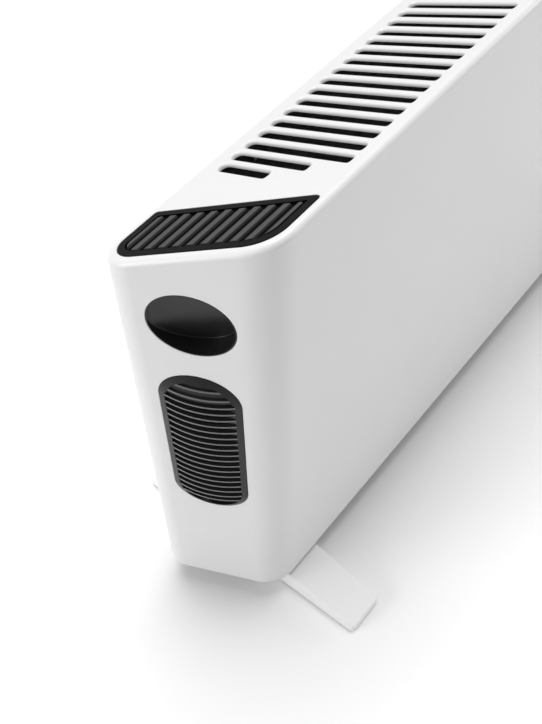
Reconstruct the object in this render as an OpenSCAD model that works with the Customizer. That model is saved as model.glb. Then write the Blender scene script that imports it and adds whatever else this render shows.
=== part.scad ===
// Convector heater on two feet: a one-piece casing with slanted ends and a sloping slotted top.
// Millimetres. X runs along the heater, the front faces -Y, and the floor is at Z = 0.

/* [Body] */
// Length along the rear, measured to the sharp corners
body_l = 686; // [600:2:800]
// Depth from the front panel to the rear cover
body_d = 96; // [92:1:104]
// Height of the body at the rear, without the feet
body_h = 370; // [350:1:400]
// Angle at which the top falls towards the rear
top_slope = 22.6; // [18:0.2:26]
// Angle by which each end is slanted in plan
end_slant = 24.7; // [24:0.1:28]
// Wall of the moulded casing
wall = 2.5; // [2.2:0.1:3]
// Thickness of the casing's frame round the rear opening
rear_frame = 4; // [3.5:0.1:5]
// Radius of the front upright corners
front_r = 30; // [24:1:30]
// Radius of the rear upright corners
rear_r = 17; // [14:0.5:17.5]
// Radius of the rim round the top
edge_r = 5; // [3:0.5:5]
// Radius of the bottom edge
bottom_r = 2.2; // [1:0.1:2.4]

/* [Outlet slots] */
// Width of a slot
slot_w = 8.2; // [6:0.1:8.6]
// Distance from one slot to the next
slot_pitch = 11.9; // [10:0.1:14]
// Length of a full slot, along the slope
slot_len = 79; // [70:1:80]
// Length of the outermost slot
slot_short = 38; // [34:1:46]
// Length of the second slot
slot_mid = 58; // [50:1:64]
// Distance from the rear edge to the slots, along the slope
slot_from_rear = 14; // [12:1:16]
// Least distance from the slanted end to the first slot, along X at the rear
slot_from_end = 94.5; // [90:0.5:110]

/* [Top inserts] */
// White rim between an insert and the outside of the casing
insert_rim = 6; // [5:0.5:7]
// Width of an insert, square to the slanted end
insert_w = 39.5; // [36:0.5:44]
// Radius of the two inner corners
insert_r = 2.5; // [1.5:0.5:4]
// Number of ribs on the plain insert
rib_count = 11; // [7:1:12]
// Width of a rib
rib_w = 4; // [3:0.5:4.5]
// Height of a rib above the bed of the insert
rib_h = 1.2; // [0.6:0.1:1.6]
// Flat border round the ribs
rib_border = 5.5; // [4:0.5:8]

/* [End recess and end grille] */
// Flat margin between the end grille and the rounded front corner
corner_margin = 1.9; // [1.8:0.1:3]
// Radius of the finger recess
cup_r = 26.5; // [22:0.5:26.5]
// Height of the recess below the rear top edge, to its centre
cup_drop = 35; // [33:1:60]
// Depth of the recess at its bottom edge
cup_low_depth = 14; // [10:0.5:15]
// Angle by which the back of the recess leans away upwards
cup_lean = 2; // [0:1:4]
// Radius of the scooped back of the recess
cup_scoop_r = 60; // [58:1:70]
// Distance from the middle of the recess to its deepest line, towards the front
cup_scoop_shift = 10; // [6:0.5:11]
// Width of the end grille
grille_w = 53.5; // [46:0.5:53.5]
// Height of the end grille
grille_h = 164; // [120:1:170]
// Radius of the grille's arched ends
grille_end_r = 29; // [28:0.5:40]
// Height of the grille's centre below the rear top edge
grille_drop = 165.5; // [165:0.5:180]
// Height by which the grille bulges out
grille_bulge = 5.5; // [3:0.5:6]
// Distance from one slat to the next
slat_pitch = 7.3; // [6:0.1:9]
// Thickness of a slat
slat_t = 1.7; // [1.4:0.1:2.2]
// Width of the grille's border
grille_border = 5; // [4:0.5:7]
// Height of the closed arch at the top of the grille
grille_cap = 24; // [18:1:30]

/* [Rear and base] */
// Thickness of the rear cover's sheet
sheet_t = 1; // [0.8:0.1:1.2]
// Distance from each end to the rear opening, along X
rear_open_margin = 48; // [43:1:70]
// Width of the ledge on which the rear cover lies
ledge = 11; // [9:1:12]
// Distance from the rear top edge to the rear opening
rear_open_drop = 24; // [20:1:30]
// Thickness of the base tray
tray_t = 2.5; // [2:0.1:3]
// Height of the base tray's rim
tray_rim = 14; // [10:1:20]
// Height of the wall keyholes below the rear top edge
keyhole_drop = 84; // [70:1:110]
// Distance between the two wall keyholes
keyhole_spacing = 400; // [300:10:460]
// Radius of a keyhole's round entry
keyhole_r = 5; // [4.5:0.5:6]
// Width of a keyhole's neck
keyhole_neck = 5.2; // [4.5:0.1:6]
// Radius of the bore for the supply cord
inlet_bore_r = 3.8; // [3:0.1:5]
// Distance from the right end to the cord inlet, along X
inlet_from_end = 110; // [90:1:111]
// Height of the cord inlet above the bottom edge
inlet_rise = 46; // [40:1:60]

/* [Feet] */
// Clear height under the body
ground_gap = 30; // [28:1:36]
// Width of a foot
foot_w = 36.5; // [34:0.5:44]
// Reach of a foot from the middle of the body
foot_reach = 113; // [105:1:125]
// Height of a foot at its outer end
foot_tip_h = 9; // [8:0.5:11]
// Distance from the slanted end to a foot's middle, along X at the rear
foot_from_end = 78; // [74:1:120]
// Wall of a foot
foot_wall = 3; // [2.5:0.1:4]
// Radius of a rubber pad
pad_r = 7; // [5:0.5:8]
// Thickness of a rubber pad
pad_t = 1.5; // [1:0.5:2.5]

/* [Heating element] */
// Gap between the element's ends and the sheets beside them
element_gap = 17; // [14:1:60]
// Distance from one fin to the next
fin_pitch = 8; // [6:0.5:12]
// Thickness of a fin
fin_t = 0.8; // [0.5:0.1:1.2]
// Depth of a fin, front to rear
fin_d = 46; // [36:1:52]
// Height of a fin
fin_h = 52; // [40:1:60]
// Radius of the element's tube
tube_r = 4; // [3:0.5:5]
// Distance between the two legs of the tube
tube_gap = 24; // [18:1:30]
// Height of the element above the base tray
element_rise = 72; // [60:1:100]
// Length of the tube outside the fins, at each end
tube_tail = 22; // [20:1:30]
// Distance from the front wall to the heat shield
shield_gap = 6; // [5:0.5:8]

/* [Inner sheets] */
// Thickness of the fan plate
plate_t = 1.5; // [1:0.1:2]
// Thickness of the brackets and the partition
bracket_t = 1.2; // [0.8:0.1:1.5]
// Length of the feet folded from the sheets
sheet_foot_l = 14; // [10:1:16]
// Width of the feet of the fan plate and the partition
sheet_foot_w = 56; // [40:1:57]
// Distance from the right end to the control partition, along X
partition_from_end = 122; // [120:1:140]
// Height of the control partition above the fan plate's top
partition_over = 10; // [0:1:30]

/* [Fan] */
// Outer radius of the fan's blades
fan_r = 35; // [28:1:36]
// Number of blades
blade_count = 5; // [4:1:7]
// Radius of the hub
hub_r = 11; // [9:0.5:14]
// Width of the blades along the axis
blade_w = 14; // [10:1:16]
// Radius of the motor
motor_r = 19; // [16:1:22]
// Length of the motor
motor_l = 30; // [24:1:36]
// Radius of the motor's shaft
shaft_r = 2.5; // [2:0.1:3]
// Width of the fan plate's rim above the blades
plate_rim = 13; // [8:1:20]
// Distance from the slanted end to the fan plate, along X at the rear
fan_from_end = 128; // [122:1:140]

/* [Controls] */
// Radius of the thermostat knob
knob_r = 15; // [12:0.5:16]
// Height of the knob
knob_h = 13; // [10:0.5:16]
// Place of the knob on the slope, from the rear edge
knob_s = 30; // [29:0.5:31]
// Place of the first rocker on the slope, from the rear edge
rocker_s = 59; // [58:0.5:60]
// Distance between the two rockers on the slope
rocker_pitch = 21; // [20:0.5:22]
// Length of a rocker, across the insert
rocker_l = 19; // [16:0.5:20]
// Width of a rocker, along the slope
rocker_w = 11; // [10:0.5:12]
// Angle through which a rocker tips
rocker_swing = 14; // [10:1:16]

/* [Clearances] */
// Gap between parts that drop into one another
fit_gap = 0.2; // [0.1:0.05:0.3]
// Radial clearance of shafts and pivots
run_gap = 0.05; // [0.02:0.01:0.08]
// Gap between parts that move past one another
move_gap = 0.5; // [0.4:0.1:0.8]

/* [Hidden] */
$fn = 64;
eps = 0.01;
arc_steps = 12;
white = "whitesmoke";
black = [0.12, 0.12, 0.13];
bottom = ground_gap;
rear_top = bottom + body_h;
front_top = rear_top + body_d * tan(top_slope);
slope_l = body_d / cos(top_slope);
end_h = body_l / 2 * cos(end_slant) - body_d / 2 * sin(end_slant);
inner_front = body_d / 2 - wall;
inner_rear = body_d / 2 - rear_frame;
floor_z = bottom + tray_t;
end_len = body_d / cos(end_slant);
end_feature_u = end_len - front_r * tan((90 - end_slant) / 2) - grille_w / 2 - corner_margin;
body_sides = [[90, body_d / 2, rear_r], [180 + end_slant, end_h, front_r],
    [270, body_d / 2, front_r], [360 - end_slant, end_h, rear_r]];
insert_sides = [[90, body_d / 2 - insert_rim, rear_r - insert_rim],
    [180 + end_slant, end_h - insert_rim, front_r - insert_rim],
    [270, body_d / 2 - insert_rim, insert_r],
    [360 + end_slant, insert_rim + insert_w - end_h, insert_r]];

// Each side of a convex outline is the direction of its normal, its distance from the
// origin and the radius of the corner that follows it.
function meet(a, h, b, k) = [(h * sin(b) - k * sin(a)) / sin(b - a), (k * cos(a) - h * cos(b)) / sin(b - a)];
function rounded(sides, inset) = [for (k = [0 : len(sides) - 1])
    let (s = sides[k], last = k == len(sides) - 1, n = sides[last ? 0 : k + 1],
        to = n[0] + (last ? 360 : 0), r = max(s[2], inset + 0.1), c = meet(s[0], s[1] - r, to, n[1] - r))
    for (j = [0 : arc_steps]) let (a = s[0] + (to - s[0]) * j / arc_steps)
        c + (r - inset) * [cos(a), sin(a)]];

// Places on the body
module on_top() translate([0, body_d / 2, rear_top]) rotate([-top_slope, 0, 0]) children();
module on_left_end() translate([-body_l / 2, body_d / 2, 0]) rotate([0, 0, end_slant - 90]) children();
module right_side() mirror([1, 0, 0]) children();
module both_sides() { children(); right_side() children(); }
module at_cup() on_left_end() translate([end_feature_u, 0, rear_top - cup_drop])
    rotate([-90, 0, 0]) children();
module at_grille() on_left_end() translate([end_feature_u, 0, rear_top - grille_drop]) children();
module below_top(t) on_top() translate([-body_l, -2 * body_d, -2 * front_top - t])
    cube([2 * body_l, 4 * body_d, 2 * front_top]);
module plan(inset, from, to) translate([0, 0, from]) linear_extrude(to - from)
    polygon(rounded(body_sides, inset));

// Casing
function level_ring(inset, z) = [for (p = rounded(body_sides, inset)) [p[0], p[1], z]];
function sloped_ring(inset, t) = [for (p = rounded(body_sides, inset))
    [p[0], p[1], rear_top + (body_d / 2 - p[1]) * tan(top_slope) + t / cos(top_slope)]];
casing_rings = [
    for (a = [0 : 30 : 90]) level_ring(bottom_r * (1 - sin(a)), bottom + bottom_r * (1 - cos(a))),
    for (a = [0 : 15 : 90]) sloped_ring(edge_r * (1 - cos(a)), edge_r * (sin(a) - 1))];
module loft(rings) {
    n = len(rings[0]);
    top = len(rings) - 1;
    polyhedron([for (r = rings) each r], [
        [for (j = [0 : n - 1]) j],
        [for (j = [n - 1 : -1 : 0]) top * n + j],
        for (k = [0 : top - 1]) for (j = [0 : n - 1]) let (i = (j + 1) % n)
            each [[k * n + j, (k + 1) * n + j, (k + 1) * n + i], [k * n + j, (k + 1) * n + i, k * n + i]]]);
}
module casing_cavity() intersection() {
    plan(wall, bottom - 1, 2 * front_top);
    below_top(wall);
    translate([-body_l, -body_d, 0]) cube([2 * body_l, body_d + inner_rear, 2 * front_top]);
}
slot_field = body_l - 2 * slot_from_end;
slot_count = floor((slot_field - slot_w) / slot_pitch) + 1;
slot_start = -((slot_count - 1) * slot_pitch + slot_w) / 2;
function slot_length(k) = let (n = min(k, slot_count - 1 - k))
    n == 0 ? slot_short : n == 1 ? slot_mid : slot_len;
module slot(l) linear_extrude(4 * wall, center = true) {
    translate([0, -l + slot_w / 2]) square([slot_w, l - slot_w]);
    for (y = [-slot_w / 2, -l + slot_w / 2]) translate([slot_w / 2, y]) circle(d = slot_w);
}
module top_slots() on_top() for (k = [0 : slot_count - 1])
    translate([slot_start + k * slot_pitch, -slot_from_rear, 0]) slot(slot_length(k));
module insert_prism(inset) translate([0, 0, bottom]) linear_extrude(2 * front_top)
    polygon(rounded(insert_sides, inset));
open_top = rear_top - rear_open_drop;
rear_open_l = body_l - 2 * rear_open_margin;
module rear_opening() {
    translate([-rear_open_l / 2, inner_rear - 1, bottom - 1])
        cube([rear_open_l, rear_frame + 2, open_top - bottom + 1]);
    translate([-rear_open_l / 2 - ledge, body_d / 2 - sheet_t, bottom - 1])
        cube([rear_open_l + 2 * ledge, sheet_t + 1, open_top + ledge - bottom + 1]);
}
screw_r = 1.6;
cover_screw_xz = [for (x = [-1, 1]) for (z = [0.25, 0.75])
    [x * (rear_open_l + ledge) / 2, bottom + z * (open_top - bottom)],
    for (x = [-0.35, 0, 0.35]) [x * rear_open_l, open_top + ledge / 2]];
module at_cover_screws() for (p = cover_screw_xz)
    translate([p[0], body_d / 2, p[1]]) rotate([90, 0, 0]) children();
module casing() color(white) difference() {
    loft(casing_rings);
    casing_cavity();
    rear_opening();
    top_slots();
    both_sides() {
        intersection() {
            insert_prism(-fit_gap);
            on_top() translate([-body_l, -2 * body_d, -2 * wall]) cube([2 * body_l, 4 * body_d, 4 * wall]);
        }
        at_cup() translate([0, 0, -wall]) cylinder(r = cup_r, h = 4 * wall);
        at_grille() rotate([90, 0, 0]) linear_extrude(6 * wall, center = true) grille_outline(0);
    }
    at_cover_screws() translate([0, 0, -1]) cylinder(r = screw_r + run_gap, h = rear_frame + 2);
}

// Rear cover with intake slots, wall keyholes and the cord inlet's hole
cover_l = rear_open_l + 2 * ledge - 2 * fit_gap;
cover_top = open_top + ledge - fit_gap;
inlet_x = body_l / 2 - inlet_from_end;
inlet_z = bottom + inlet_rise;
inlet_neck_r = inlet_bore_r + 2.4;
keyhole_z = rear_top - keyhole_drop;
module keyhole() {
    cylinder(r = keyhole_r, h = 4 * sheet_t, center = true);
    translate([-keyhole_neck / 2, 0, -2 * sheet_t]) cube([keyhole_neck, 2 * keyhole_r, 4 * sheet_t]);
    translate([0, 2 * keyhole_r, 0]) cylinder(d = keyhole_neck, h = 4 * sheet_t, center = true);
}
rear_slot_pitch = 13;
rear_slot_count = 15;
rear_slot_w = 5;
rear_slot_rise = 24;
rear_bank_pitch = rear_open_l * 0.22;
rear_bank_gap = 20;
rear_slot_l = rear_bank_pitch - rear_bank_gap;
module rear_cover() color(white) difference() {
    translate([-cover_l / 2, body_d / 2 - sheet_t, bottom]) cube([cover_l, sheet_t, cover_top - bottom]);
    at_cover_screws() translate([0, 0, -1]) cylinder(r = screw_r + run_gap, h = sheet_t + 2);
    for (x = [-1, 1]) translate([x * keyhole_spacing / 2, body_d / 2, keyhole_z])
        rotate([90, 0, 0]) keyhole();
    translate([inlet_x, body_d / 2, inlet_z]) rotate([90, 0, 0])
        cylinder(r = inlet_neck_r + fit_gap, h = 4 * sheet_t, center = true);
    for (x = [-1 : 1]) for (k = [0 : rear_slot_count - 1])
        translate([x * rear_bank_pitch - rear_slot_l / 2, body_d / 2 - 2 * sheet_t,
            bottom + rear_slot_rise + k * rear_slot_pitch]) cube([rear_slot_l, 4 * sheet_t, rear_slot_w]);
}
cover_head_h = 1.6;
module cover_screws() color("silver") at_cover_screws() {
    translate([0, 0, -cover_head_h]) cylinder(r = 3, h = cover_head_h);
    translate([0, 0, -eps]) cylinder(r = screw_r, h = rear_frame + 4);
}

// Base tray with its intake slots
foot_x = body_l / 2 - foot_from_end;
foot_screw_y = 14;
tray_wall = 1.8;
tray_slot_pitch = 10;
tray_slot_w = 5;
tray_slot_l = 58;
tray_slot_field = 2 * (foot_x - foot_w / 2 - 12);
tray_slot_count = floor((tray_slot_field - tray_slot_w) / tray_slot_pitch) + 1;
module tray_block(inset, from, to) intersection() {
    plan(wall + fit_gap + inset, from, to);
    translate([-body_l, -body_d, 0]) cube([2 * body_l, body_d + inner_rear - fit_gap - inset, 2 * front_top]);
}
module base_tray() color([0.3, 0.3, 0.32]) difference() {
    union() {
        difference() {
            tray_block(0, bottom, floor_z + tray_rim);
            tray_block(tray_wall, floor_z, floor_z + tray_rim + 1);
        }
        translate([-rear_open_l / 2 + 1, inner_rear - fit_gap - 1, bottom])
            cube([rear_open_l - 2, rear_frame + fit_gap + 1 - sheet_t, tray_rim]);
    }
    for (k = [0 : tray_slot_count - 1])
        translate([-((tray_slot_count - 1) * tray_slot_pitch + tray_slot_w) / 2 + k * tray_slot_pitch,
            -tray_slot_l / 2 - 2, bottom - 1]) cube([tray_slot_w, tray_slot_l, tray_t + 2]);
    for (x = [-1, 1]) for (y = [-1, 1]) translate([x * foot_x, y * foot_screw_y, bottom - 1])
        cylinder(r = screw_r + run_gap, h = tray_t + 2);
}

// Top inserts, held from below by a flange under the casing's wall
insert_flange = 1.5;
flange_t = 2;
flange_reach = 1.6;
module insert_plate() {
    intersection() {
        insert_prism(0);
        on_top() translate([-body_l, -2 * body_d, -wall - 0.5]) cube([2 * body_l, 4 * body_d, wall + 0.5]);
    }
    intersection() {
        insert_prism(-insert_flange);
        on_top() translate([-body_l, -2 * body_d, -wall - flange_t]) cube([2 * body_l, 4 * body_d, flange_t]);
        translate([-body_l, -body_d, 0]) cube([2 * body_l, body_d + inner_rear - fit_gap, 2 * front_top]);
    }
}
rib_field = slope_l - 2 * (insert_rim + rib_border) - rib_w;
module ribs() intersection() {
    insert_prism(rib_border);
    on_top() for (k = [0 : rib_count - 1])
        translate([-body_l, -insert_rim - rib_border - rib_w - k * rib_field / (rib_count - 1), -rib_h])
            cube([2 * body_l, rib_w, rib_h]);
}
module left_insert() color(black) union() {
    difference() {
        insert_plate();
        intersection() {
            insert_prism(rib_border - 2);
            on_top() translate([-body_l, -2 * body_d, -rib_h]) cube([2 * body_l, 4 * body_d, rib_h + 1]);
        }
    }
    ribs();
}

// The right insert carries the controls. Its own places run along the slope.
function insert_mid(s) = body_l / 2 - (insert_rim + insert_w / 2) / cos(end_slant)
    - s * cos(top_slope) * tan(end_slant);
module at_control(s) on_top() translate([insert_mid(s), -s, 0]) children();
stem_r = 3;
stem_neck_r = 4.5;
housing_gap = 0.3;
module switch_cutout() translate([0, 0, -3 * wall]) linear_extrude(6 * wall)
    square([housing_l + 2 * fit_gap, cavity_w + 2 * housing_wall + 2 * fit_gap], center = true);
module control_panel() color(black) difference() {
    right_side() insert_plate();
    at_control(knob_s) translate([0, 0, -3 * wall]) cylinder(r = stem_neck_r + fit_gap, h = 6 * wall);
    for (k = [0, 1]) at_control(rocker_s + k * rocker_pitch) switch_cutout();
}
thermostat_w = 26;
thermostat_h = 16;
panel_under = -wall - flange_t;
shaft_top = 8.3;
shaft_bottom = panel_under - thermostat_h + 3;
module thermostat() color("tan") at_control(knob_s) difference() {
    union() {
        translate([-thermostat_w / 2, -thermostat_w / 2, panel_under - thermostat_h])
            cube([thermostat_w, thermostat_w, thermostat_h]);
        translate([0, 0, panel_under - eps]) cylinder(r = stem_neck_r, h = -panel_under);
    }
    translate([0, 0, shaft_bottom]) cylinder(r = stem_r + run_gap, h = shaft_top - shaft_bottom);
}
module thermostat_shaft() color("silver") at_control(knob_s)
    translate([0, 0, shaft_bottom + fit_gap]) cylinder(r = stem_r, h = shaft_top - shaft_bottom - fit_gap);
knob_skirt = 3;
knob_bevel = 1;
knob_grips = 18;
grip_w = 1.6;
mark_w = 1.2;
mark_t = 0.8;
module thermostat_knob() color(black) at_control(knob_s) difference() {
    translate([0, 0, move_gap]) {
        cylinder(r = knob_r, h = knob_skirt);
        translate([0, 0, knob_skirt - eps])
            cylinder(r1 = knob_r - 1, r2 = knob_r - 2, h = knob_h - knob_skirt - knob_bevel);
        translate([0, 0, knob_h - knob_bevel - 2 * eps])
            cylinder(r1 = knob_r - 2, r2 = knob_r - 2 - knob_bevel, h = knob_bevel);
        for (k = [0 : knob_grips - 1]) rotate([0, 0, k * 360 / knob_grips])
            translate([knob_r - grip_w, -grip_w / 2, knob_skirt - eps])
                cube([grip_w, grip_w, knob_h - knob_skirt - 2 * knob_bevel]);
    }
    translate([0, 0, -1]) cylinder(r = stem_r, h = 1 + shaft_top);
    translate([-mark_w / 2, knob_r / 4, move_gap + knob_h - mark_t]) cube([mark_w, knob_r, mark_t + 1]);
}

// Rocker switches: the rocker rests tipped one way and swings on two pins
housing_wall = 1.2;
pivot_depth = 7;
rocker_rise = 1.5;
rocker_dip = 0.7;
rocker_foot = 3;
housing_d = pivot_depth + rocker_foot + 4;
pin_r = 1.4;
pin_l = 1.3;
rocker_top = pivot_depth + rocker_rise;
rocker_reach = norm([rocker_w / 2, rocker_top]) * sin(atan2(rocker_w / 2, rocker_top) + rocker_swing / 2);
cavity_w = 2 * (rocker_reach + housing_gap);
cavity_l = rocker_l + 2 * housing_gap;
housing_l = cavity_l + 2 * (pin_l + 0.7);
bezel_t = 0.9;
bezel_rim = 1.3;
module box_at(l, w, from, to) translate([-l / 2, -w / 2, from]) cube([l, w, to - from]);
module switch_body(s) color([0.18, 0.18, 0.19]) at_control(s) difference() {
    union() {
        box_at(housing_l + 2 * bezel_rim, cavity_w + 2 * (housing_wall + bezel_rim), 0, bezel_t);
        box_at(housing_l, cavity_w + 2 * housing_wall, -housing_d, eps);
    }
    box_at(cavity_l, cavity_w, -housing_d + 2, 2 * bezel_t);
    translate([-rocker_l / 2 - pin_l - housing_gap, 0, -pivot_depth]) rotate([0, 90, 0])
        cylinder(r = pin_r + run_gap, h = rocker_l + 2 * pin_l + 2 * housing_gap);
}
module rocker(s) color(black) at_control(s) translate([0, 0, -pivot_depth])
    rotate([-rocker_swing / 2, 0, 0]) {
        rotate([90, 0, 90]) linear_extrude(rocker_l, center = true)
            polygon([[-rocker_w / 2, -rocker_foot], [rocker_w / 2, -rocker_foot], [rocker_w / 2, rocker_top],
                [0, rocker_top - rocker_dip], [-rocker_w / 2, rocker_top]]);
        rotate([0, 90, 0]) cylinder(r = pin_r, h = rocker_l + 2 * pin_l, center = true);
    }
module low_heat_switch() switch_body(rocker_s);
module high_heat_switch() switch_body(rocker_s + rocker_pitch);
module low_heat_rocker() rocker(rocker_s);
module high_heat_rocker() rocker(rocker_s + rocker_pitch);

// Finger recess: a round hole whose scooped back is deepest towards the front and leans away upwards
cup_wall = 1.4;
cup_shell = 2;
module scoop(r) translate([cup_scoop_shift, cup_r, cup_low_depth]) rotate([-cup_lean, 0, 0])
    translate([0, 0, -cup_scoop_r]) rotate([90, 0, 0])
        cylinder(r = r, h = 6 * cup_r, center = true, $fn = 128);
module grip_cup() color(black) at_cup() difference() {
    union() {
        intersection() {
            cylinder(r = cup_r - fit_gap, h = 3 * cup_r);
            scoop(cup_scoop_r + cup_shell);
        }
        translate([0, 0, wall]) cylinder(r = cup_r + flange_reach, h = flange_t);
    }
    intersection() {
        translate([0, 0, -1]) cylinder(r = cup_r - fit_gap - cup_wall, h = 3 * cup_r);
        scoop(cup_scoop_r);
    }
}
module left_grip_cup() grip_cup();
module right_grip_cup() right_side() grip_cup();

// End grille: an arched frame with level slats, all cut to one outward bulge
module grille_outline(inset) {
    arc_r = grille_end_r - inset;
    half_w = grille_w / 2 - inset;
    centre_h = grille_h / 2 - grille_end_r;
    side_h = centre_h + sqrt(arc_r * arc_r - half_w * half_w);
    square([2 * half_w, 2 * side_h], center = true);
    for (s = [-1, 1]) intersection() {
        translate([0, s * centre_h]) circle(r = arc_r, $fn = 96);
        translate([0, s * (side_h + grille_h / 2)]) square([2 * half_w, grille_h], center = true);
    }
}
bulge_r = (grille_w * grille_w / 4 + grille_bulge * grille_bulge) / (2 * grille_bulge);
module bulge(r) translate([0, bulge_r - grille_bulge, 0])
    cylinder(r = r, h = 2 * grille_h, center = true, $fn = 128);
module grille_extrude(from, to) translate([0, to, 0]) rotate([90, 0, 0]) linear_extrude(to - from) children();
grille_cap_t = 2;
slat_count = floor((grille_h - 2 * grille_border) / slat_pitch / 2);
module level_band(from, h) translate([-grille_w, -grille_w, from]) cube([2 * grille_w, 2 * grille_w, h]);
module end_grille() color(black) at_grille() {
    intersection() {
        bulge(bulge_r);
        union() {
            grille_extrude(-grille_bulge - 1, wall + flange_t) difference() {
                grille_outline(fit_gap);
                grille_outline(grille_border);
            }
            intersection() {
                grille_extrude(-grille_bulge - 1, wall) grille_outline(grille_border - 1);
                union() {
                    for (k = [-slat_count : slat_count]) level_band(k * slat_pitch - slat_t / 2, slat_t);
                    difference() {
                        level_band(grille_h / 2 - grille_cap, grille_cap);
                        intersection() {
                            bulge(bulge_r - grille_cap_t);
                            level_band(grille_h / 2 - grille_cap + slat_t, grille_cap);
                        }
                    }
                }
            }
        }
    }
    grille_extrude(wall, wall + flange_t) difference() {
        grille_outline(-flange_reach);
        grille_outline(grille_border);
    }
}
module left_end_grille() end_grille();
module right_end_grille() right_side() end_grille();

// Feet: hollow wedges that fall from the middle of the base to both sides
foot_top_flat = 20;
foot_corner_r = 7;
foot_boss_r = 6;
screw_head_r = 3.2;
screw_head_h = 2.4;
screw_sink = pad_t + 6;
pad_y = foot_reach - pad_r - 5;
module foot_profile(inset) polygon([[-foot_reach + inset, pad_t], [foot_reach - inset, pad_t],
    [foot_reach - inset, foot_tip_h - inset], [foot_top_flat, bottom - inset],
    [-foot_top_flat, bottom - inset], [-foot_reach + inset, foot_tip_h - inset]]);
module foot() color(white) difference() {
    union() {
        difference() {
            intersection() {
                rotate([90, 0, 90]) linear_extrude(foot_w, center = true) foot_profile(0);
                linear_extrude(bottom) {
                    square([foot_w, 2 * (foot_reach - foot_corner_r)], center = true);
                    square([foot_w - 2 * foot_corner_r, 2 * foot_reach], center = true);
                    for (x = [-1, 1]) for (y = [-1, 1])
                        translate([x * (foot_w / 2 - foot_corner_r), y * (foot_reach - foot_corner_r)])
                            circle(r = foot_corner_r);
                }
            }
            translate([0, 0, -eps]) rotate([90, 0, 90])
                linear_extrude(foot_w - 2 * foot_wall, center = true) foot_profile(foot_wall);
        }
        for (y = [-1, 1]) translate([0, y * foot_screw_y, screw_sink])
            cylinder(r = foot_boss_r, h = bottom - foot_wall / 2 - screw_sink);
        for (y = [-1, 1]) translate([0, y * pad_y, pad_t]) cylinder(r = pad_r, h = foot_tip_h - pad_t);
    }
    for (y = [-1, 1]) translate([0, y * foot_screw_y, 0]) cylinder(r = screw_r + run_gap, h = bottom + 1);
}
module left_foot() translate([-foot_x, 0, 0]) foot();
module right_foot() translate([foot_x, 0, 0]) foot();
module foot_pads() color("black") for (x = [-1, 1]) for (y = [-1, 1])
    translate([x * foot_x, y * pad_y, 0]) cylinder(r = pad_r, h = pad_t);
module foot_screws() color("silver") for (x = [-1, 1]) for (y = [-1, 1])
    translate([x * foot_x, y * foot_screw_y, screw_sink - screw_head_h]) {
        cylinder(r = screw_head_r, h = screw_head_h);
        cylinder(r = screw_r, h = floor_z + 5 - screw_sink + screw_head_h);
    }

// Sheets across the body: the fan plate at the left and the control partition at the right
fan_x = -body_l / 2 + fan_from_end;
fan_z = rear_top - grille_drop;
partition_x = body_l / 2 - partition_from_end;
sheet_side_gap = tray_wall + 2 * fit_gap;
plate_h = fan_z + fan_r + plate_rim - floor_z;
module cross_sheet(x, t, h) {
    translate([x, -inner_front + sheet_side_gap, floor_z])
        cube([t, inner_front + inner_rear - 2 * sheet_side_gap, h]);
    translate([x, -sheet_foot_w / 2, floor_z]) cube([sheet_foot_l, sheet_foot_w, t]);
}

// Heating element: a hairpin tube with pressed-on fins, held in bushes by two brackets
bend_reach = tube_gap / 2 + tube_r;
element_from = fan_x + plate_t + element_gap + bend_reach + tube_tail;
element_to = partition_x - element_gap - tube_tail;
element_x = (element_from + element_to) / 2;
element_z = floor_z + element_rise;
fin_block_l = element_to - element_from;
tube_end_l = fin_block_l + 2 * tube_tail;
fin_count = floor(fin_block_l / fin_pitch) + 1;
module tube_legs(r, l) for (z = [-1, 1]) translate([element_x - l / 2, 0, element_z + z * tube_gap / 2])
    rotate([0, 90, 0]) cylinder(r = r, h = l);
module heating_element() color("silver") {
    tube_legs(tube_r, tube_end_l);
    translate([element_x - tube_end_l / 2, 0, element_z]) rotate([90, 0, 0]) rotate([0, 0, 90])
        rotate_extrude(angle = 180) translate([tube_gap / 2, 0]) circle(r = tube_r);
    for (k = [0 : fin_count - 1])
        translate([element_x - (fin_count - 1) * fin_pitch / 2 + k * fin_pitch - fin_t / 2,
            -fin_d / 2, element_z - fin_h / 2]) cube([fin_t, fin_d, fin_h]);
}
bush_wall = 3.5;
bush_collar = 1.8;
bush_r = tube_r + bush_wall;
bush_l = 8;
bush_collar_l = 2;
bush_from_fins = 8;
bracket_margin = 3;
bracket_x = fin_block_l / 2 + bush_l / 2 + bush_from_fins;
bracket_w = fin_d + 2 * bracket_margin;
module element_bushes() color("ivory") for (x = [-1, 1]) for (z = [-1, 1])
    translate([element_x + x * bracket_x, 0, element_z + z * tube_gap / 2]) rotate([0, 90, 0]) difference() {
        union() {
            cylinder(r = bush_r, h = bush_l, center = true);
            cylinder(r = bush_r + bush_collar, h = bush_collar_l, center = true);
        }
        cylinder(r = tube_r + run_gap, h = bush_l + 2, center = true);
    }
module element_bracket() difference() {
    union() {
        translate([0, -bracket_w / 2, floor_z]) cube([bracket_t, bracket_w, element_rise + fin_h / 2]);
        translate([0, -bracket_w / 2, floor_z]) cube([sheet_foot_l, bracket_w, bracket_t]);
    }
    for (z = [-1, 1]) translate([-1, 0, element_z + z * tube_gap / 2]) rotate([0, 90, 0])
        cylinder(r = bush_r + run_gap, h = bracket_t + 2);
}
module element_brackets() color("gainsboro") for (x = [-1, 1])
    translate([element_x + x * (bracket_x + bush_collar_l / 2), 0, 0])
        mirror([x < 0 ? 1 : 0, 0, 0]) element_bracket();

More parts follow.
